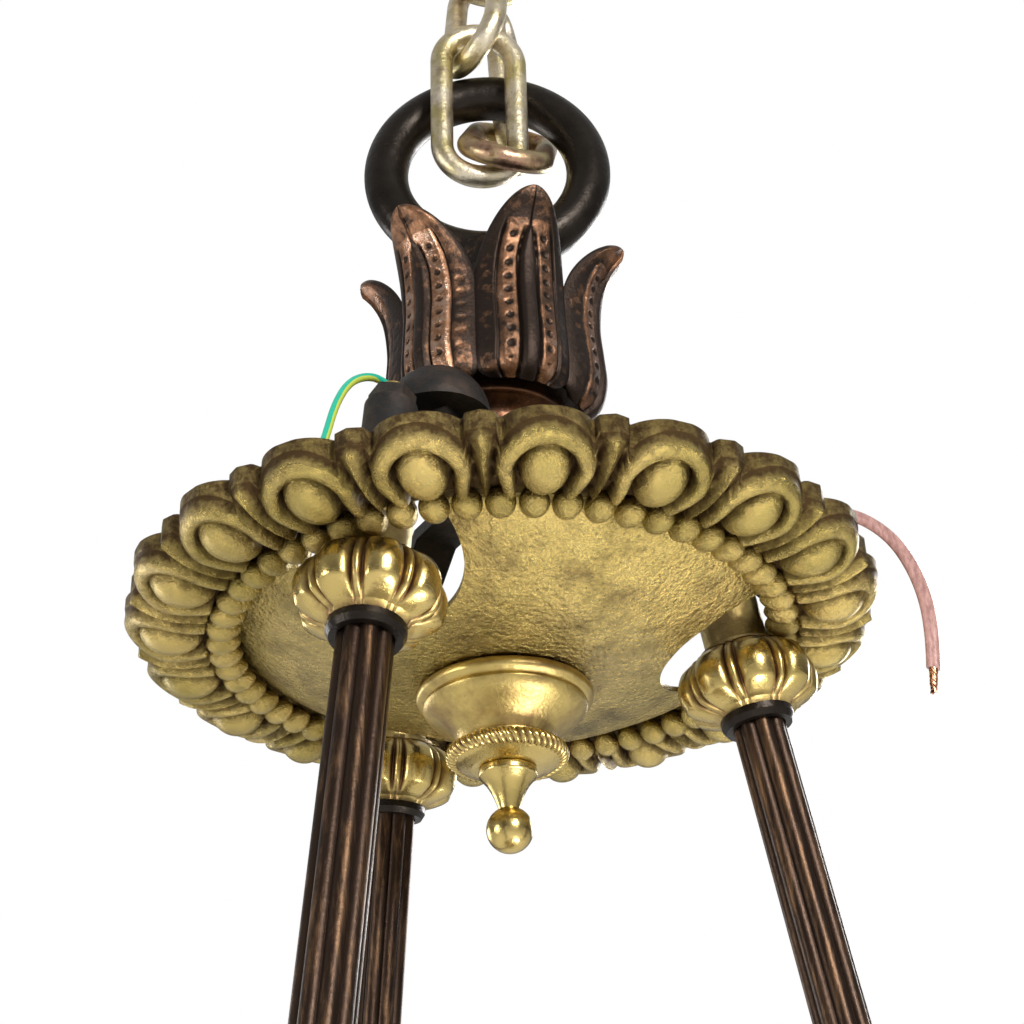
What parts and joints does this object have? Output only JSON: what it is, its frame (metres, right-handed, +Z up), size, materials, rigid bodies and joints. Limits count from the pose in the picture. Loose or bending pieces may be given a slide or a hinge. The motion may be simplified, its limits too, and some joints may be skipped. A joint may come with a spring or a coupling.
{
  "type": "sanctuary lamp",
  "caption": "Hanging bronze and brass sanctuary lamp: chain sling, ring eye with leaf crown, cast egg-and-dart rim with dish and finial, flared reeded rods and a glass bowl ring.",
  "frame": {"origin": "on the ceiling face, at the centre of the ceiling plate, on the lamp's axis", "axes": "+Z up along the lamp's axis; -Y towards the front"},
  "size_m": [0.3481, 0.344, 0.9881],
  "materials": {
    "iron_black": "black-brown iron, dull",
    "bronze_dark": "dark brown patinated bronze, semi-gloss",
    "bronze_leaf": "dark brown bronze with copper wear",
    "bronze_rod": "dark brown bronze, worn along the reeds",
    "copper_brown": "copper-brown patina",
    "brass_cast": "antique cast brass with dark recesses, satin",
    "brass_spun": "hammered satin brass",
    "brass_bright": "polished brass",
    "steel_worn": "worn brassed steel",
    "glass_opal": "opal glass",
    "glass_clear": "frosted lamp glass",
    "pvc_green": "green and yellow wire sheath",
    "pvc_clear": "clear twin flex over copper",
    "copper_bare": "bare stranded copper",
    "block_grey": "grey connector block"
  },
  "bodies": {
    "ceiling": {"ceiling_plate": "brass_bright", "ceiling_hook": "iron_black", "hook_locknut": "iron_black"},
    "hanging_ring": {"suspension_ring": "steel_worn"},
    "sling": {"link_front_upper": "steel_worn", "link_front_lower": "steel_worn", "link_saddle": "copper_brown", "link_rear": "steel_worn"},
    "bowl": {"glass_bowl": "glass_opal"},
    "bulb_a": {"bulb_a": "glass_clear"},
    "bulb_b": {"bulb_b": "glass_clear"},
    "bulb_c": {"bulb_c": "glass_clear"},
    "lamp": {"arm_nuts": "iron_black", "arm_tube_a": "brass_spun", "arm_tube_b": "brass_spun", "arm_tube_c": "brass_spun", "bead_ring": "brass_cast", "bridge_screws": "brass_bright", "collar_cup": "brass_spun", "crown_cup": "bronze_leaf", "crown_foot": "copper_brown", "crown_nut": "iron_black", "dish": "brass_spun", "dome_plate": "iron_black", "earth_lug": "copper_bare", "earth_wire": "pvc_green", "eye_ring": "bronze_dark", "ferrules": "bronze_dark", "finial": "brass_bright", "flex_strands": "copper_bare", "junction_dome": "iron_black", "lamp_bridge": "brass_spun", "lampholders": "brass_bright", "leaf_1": "bronze_leaf", "leaf_2": "bronze_leaf", "leaf_3": "bronze_leaf", "leaf_4": "bronze_leaf", "leaf_5": "bronze_leaf", "leaf_6": "bronze_leaf", "lower_beads": "brass_cast", "lower_ring": "brass_cast", "lower_seats": "bronze_rod", "lower_socket_a": "brass_bright", "lower_socket_b": "brass_bright", "lower_socket_c": "brass_bright", "lower_studs": "brass_bright", "rim_band": "brass_cast", "rim_screws": "iron_black", "rod_a": "bronze_rod", "rod_b": "bronze_rod", "rod_c": "bronze_rod", "rope_ring": "brass_bright", "socket_a": "brass_bright", "socket_b": "brass_bright", "socket_c": "brass_bright", "spider": "iron_black", "stem_sleeve": "iron_black", "supply_flex": "pvc_clear", "terminal_block": "block_grey", "tie_rod": "iron_black"}
  },
  "joints": [
    {"name": "ring_rock", "type": "hinge", "parent": "ceiling", "child": "hanging_ring", "pos_m": [0, 0, -0.0604], "axis": [-0.342, 0.9397, 0], "range_deg": [-20, 20]},
    {"name": "sling_swing", "type": "hinge", "parent": "hanging_ring", "child": "sling", "pos_m": [0, 0, -0.088], "axis": [0.9397, 0.342, 0], "range_deg": [-20, 16]},
    {"name": "lamp_swing", "type": "hinge", "parent": "sling", "child": "lamp", "pos_m": [0, 0, -0.1537], "axis": [1, 0, 0], "range_deg": [-6, 4]},
    {"name": "bowl_lift", "type": "slide", "parent": "lamp", "child": "bowl", "axis": [0, 0, 1], "range_m": [0, 0.003]},
    {"name": "bulb_a_twist", "type": "hinge", "parent": "lamp", "child": "bulb_a", "pos_m": [0.02678, -0.04457, -0.87217], "axis": [0, 0, 1], "range_deg": [0, 25]},
    {"name": "bulb_b_twist", "type": "hinge", "parent": "lamp", "child": "bulb_b", "pos_m": [0.02521, 0.04548, -0.87217], "axis": [0, 0, 1], "range_deg": [0, 25]},
    {"name": "bulb_c_twist", "type": "hinge", "parent": "lamp", "child": "bulb_c", "pos_m": [-0.05199, -0.00091, -0.87217], "axis": [0, 0, 1], "range_deg": [0, 25]}
  ]
}
